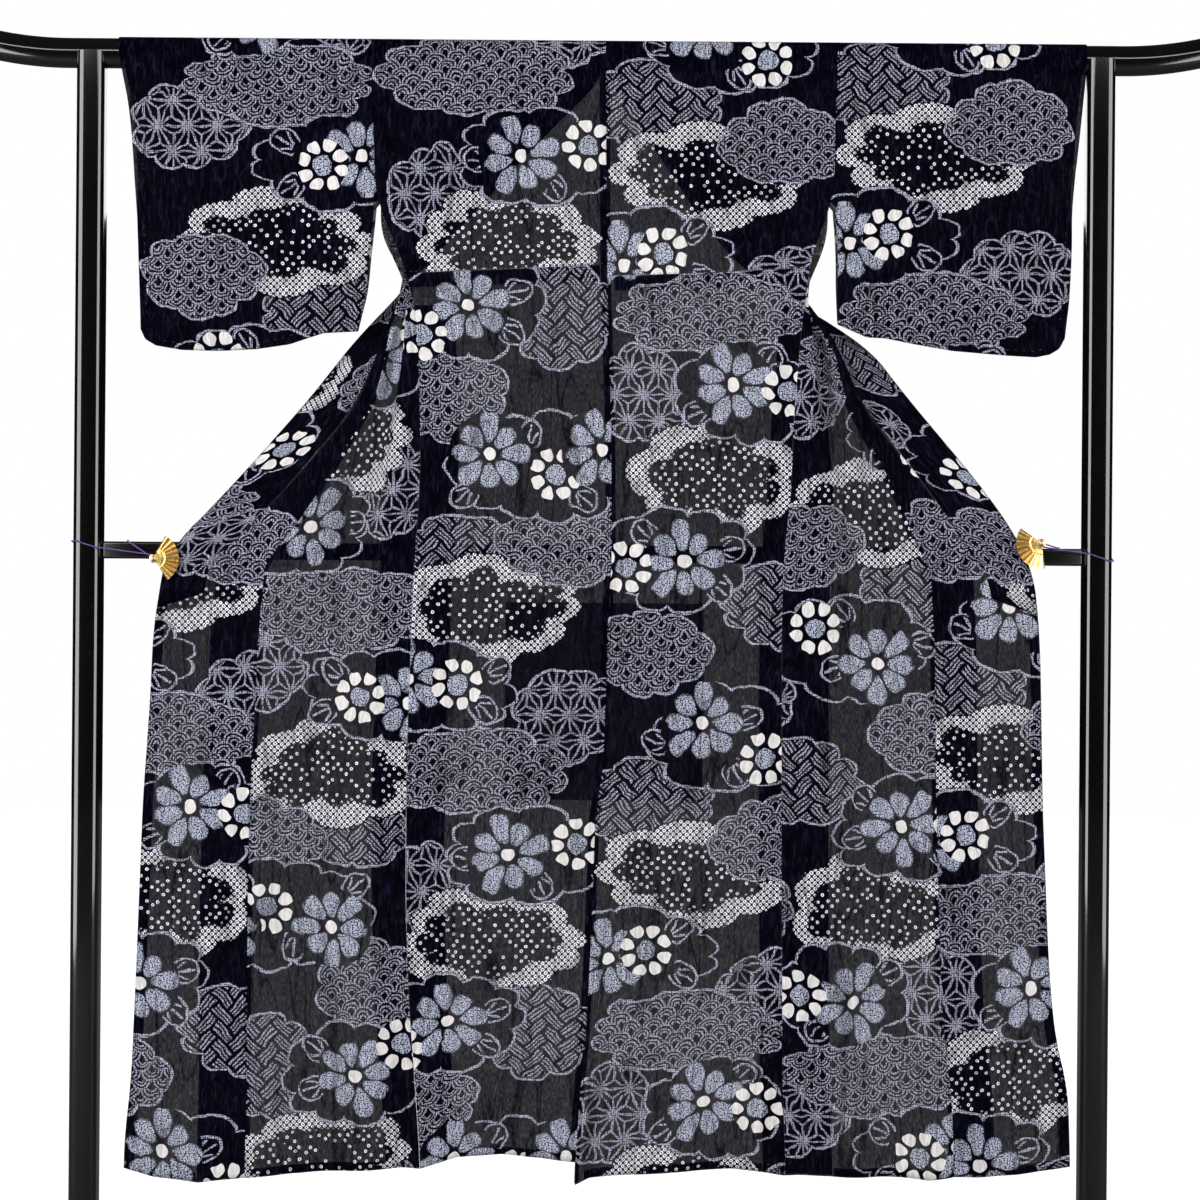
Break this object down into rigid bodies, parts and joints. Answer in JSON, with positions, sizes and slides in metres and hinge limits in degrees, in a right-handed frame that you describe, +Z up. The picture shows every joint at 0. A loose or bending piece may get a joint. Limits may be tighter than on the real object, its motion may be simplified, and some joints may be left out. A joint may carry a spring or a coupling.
{
  "type": "yukata on a kimono stand",
  "caption": "Summer yukata hung back side forward on a lacquered kimono stand, bar through the sleeves, fronts opened outwards and held by fan clips.",
  "frame": {"origin": "on the floor under the middle of the whole object's box, midway between the posts", "axes": "+Z up, +X along the top bar towards the garment's right sleeve, +Y away from the viewer; the garment's back and outside face -Y"},
  "size_m": [1.78, 0.43, 1.722],
  "materials": {
    "cloth": "sheer crinkled summer cloth, dark navy with a pale woven-look pattern",
    "collar": "the same cloth folded in several layers",
    "lining": "plain thin dark cloth",
    "lacquer": "black gloss lacquer",
    "gilt": "polished gilt",
    "cord": "thin twisted purple cord"
  },
  "bodies": {
    "root": {"body_left": "cloth", "body_right": "cloth", "okumi_left": "cloth", "okumi_right": "cloth", "sleeve_left": "cloth", "sleeve_right": "cloth", "collar": "collar", "seat_lining": "lining", "top_bar": "lacquer", "cross_bar": "lacquer", "post_left": "lacquer", "post_right": "lacquer", "foot_left": "lacquer", "foot_right": "lacquer", "fan_left": "gilt", "fan_right": "gilt", "cord_left": "cord", "cord_right": "cord"}
  },
  "joints": []
}
